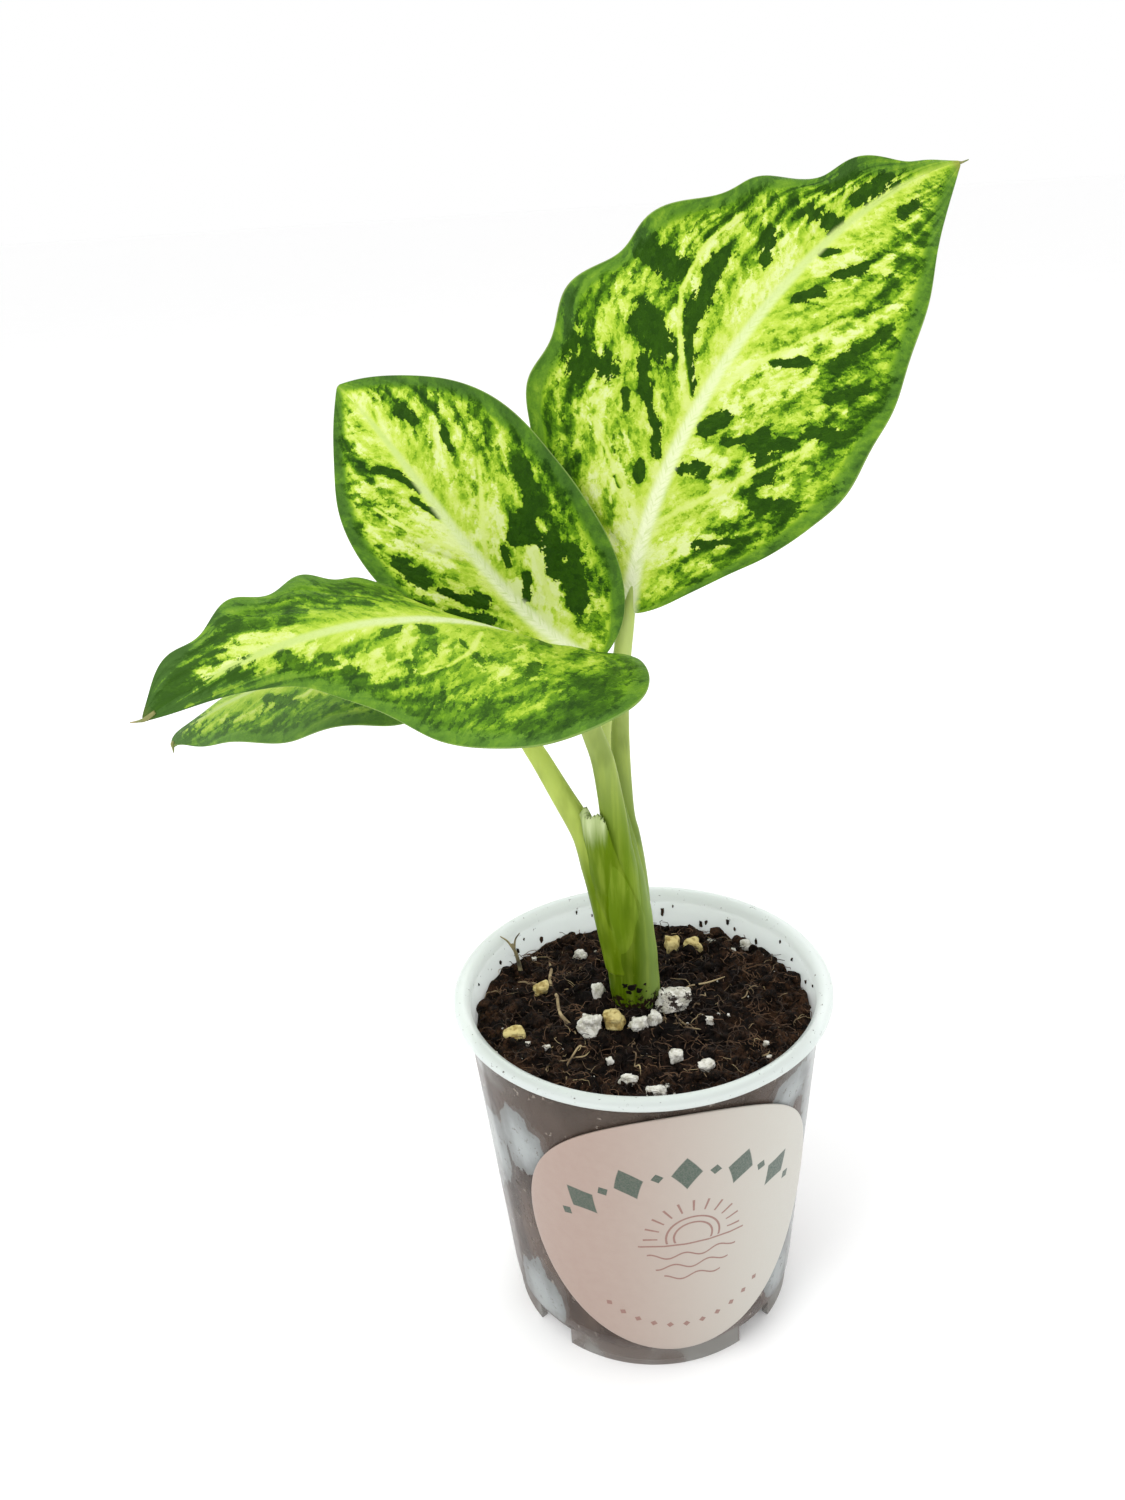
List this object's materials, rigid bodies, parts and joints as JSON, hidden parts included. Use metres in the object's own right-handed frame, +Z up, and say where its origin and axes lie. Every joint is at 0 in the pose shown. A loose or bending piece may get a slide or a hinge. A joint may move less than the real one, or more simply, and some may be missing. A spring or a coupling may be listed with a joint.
{
  "type": "potted dieffenbachia",
  "caption": "Young dieffenbachia with marbled, wavy-edged leaves on slim stalks that rise from a cane in dark potting mix, in a frosted translucent nursery pot with a blank round label.",
  "frame": {"origin": "middle of the underside of the pot's floor pad, on the surface that the pot stands on", "axes": "+Z up along the pot's axis, -Y towards the viewer's side with the label, +X to the right of that side; the tallest leaf leans to +X and the low leaves to -X"},
  "size_m": [0.1154, 0.0692, 0.181],
  "materials": {
    "pot": "satin",
    "label": "satin",
    "soil": "matte",
    "stem": "satin",
    "sheath": "matte",
    "petiole": "satin",
    "leaf": "satin",
    "perlite": "matte",
    "grit": "matte"
  },
  "bodies": {
    "root": {"pot": "pot", "label": "label", "soil": "soil", "stem": "stem", "sheath": "sheath", "petiole_low": "petiole", "petiole_front": "petiole", "petiole_middle": "petiole", "petiole_tall": "petiole", "leaf_low": "leaf", "leaf_front": "leaf", "leaf_middle": "leaf", "leaf_tall": "leaf", "perlite_1": "perlite", "perlite_2": "perlite", "perlite_3": "perlite", "perlite_4": "perlite", "perlite_5": "perlite", "perlite_6": "perlite", "perlite_7": "perlite", "perlite_8": "perlite", "perlite_9": "perlite", "perlite_10": "perlite", "perlite_11": "perlite", "grit_1": "grit", "grit_2": "grit", "grit_3": "grit", "grit_4": "grit", "grit_5": "grit"}
  },
  "joints": []
}
